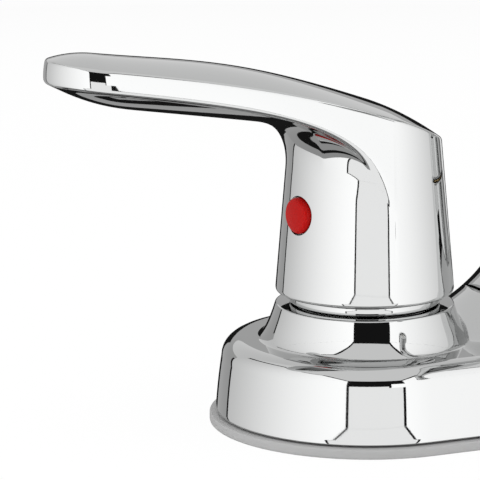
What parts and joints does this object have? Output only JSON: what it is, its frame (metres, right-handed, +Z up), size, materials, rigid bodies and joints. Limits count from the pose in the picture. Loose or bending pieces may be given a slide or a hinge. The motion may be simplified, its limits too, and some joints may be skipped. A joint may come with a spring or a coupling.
{
  "type": "utility faucet",
  "caption": "Two-handle centerset utility faucet in polished chrome: lever handles with red and blue index buttons, oval deck base, swivel tubular spout, threaded shanks below.",
  "frame": {"origin": "middle of the gasket's underside, half-way between the two valve axes, on the sink deck", "axes": "+X to the user's right (cold side), +Y away from the user, +Z up out of the deck"},
  "size_m": [0.2318, 0.1819, 0.1848],
  "materials": {
    "chrome": "mirror-polished plating",
    "brass": "machined",
    "copper": "drawn tube, lightly dulled",
    "steel": "bright zinc-plated",
    "gasket_grey": "matte moulded",
    "acetal": "smooth moulded",
    "rubber": "matte",
    "ceramic": null,
    "red_plastic": "glossy moulded",
    "blue_plastic": "glossy moulded"
  },
  "bodies": {
    "deck_unit": {"deck_gasket": "gasket_grey", "base_casting": "chrome", "mixing_tee": "brass", "spout_nut": "chrome", "spout_wear_ring": "acetal", "hot_bonnet_nut": "chrome", "hot_valve_body": "brass", "hot_cartridge_shell": "brass", "hot_lock_nut": "brass", "hot_crossover_tube": "copper", "hot_fixing_washer": "steel", "hot_fixed_disc": "ceramic", "hot_seat_seal": "rubber", "cold_bonnet_nut": "chrome", "cold_valve_body": "brass", "cold_cartridge_shell": "brass", "cold_lock_nut": "brass", "cold_crossover_tube": "copper", "cold_fixing_washer": "steel", "cold_fixed_disc": "ceramic", "cold_seat_seal": "rubber"},
    "hot_lever": {"hot_handle": "chrome", "hot_index_button": "red_plastic", "hot_set_screw": "steel", "hot_stem": "brass", "hot_stem_o_ring": "rubber", "hot_moving_disc": "ceramic"},
    "cold_lever": {"cold_handle": "chrome", "cold_index_button": "blue_plastic", "cold_set_screw": "steel", "cold_stem": "brass", "cold_stem_o_ring": "rubber", "cold_moving_disc": "ceramic"},
    "swing_spout": {"spout_tube": "chrome", "spout_foot": "brass", "lower_o_ring": "rubber", "upper_o_ring": "rubber", "aerator_housing": "chrome", "aerator_screen": "acetal", "aerator_washer": "rubber"}
  },
  "joints": [
    {"name": "hot_valve_turn", "type": "hinge", "parent": "deck_unit", "child": "hot_lever", "pos_m": [-0.0508, 0, 0.0434], "axis": [0, 0, 1], "range_deg": [0, 90]},
    {"name": "cold_valve_turn", "type": "hinge", "parent": "deck_unit", "child": "cold_lever", "pos_m": [0.0508, 0, 0.0434], "axis": [0, 0, 1], "range_deg": [-90, 0]},
    {"name": "spout_swivel", "type": "hinge", "parent": "deck_unit", "child": "swing_spout", "pos_m": [0, 0, 0.05], "axis": [0, 0, 1], "continuous": true}
  ]
}
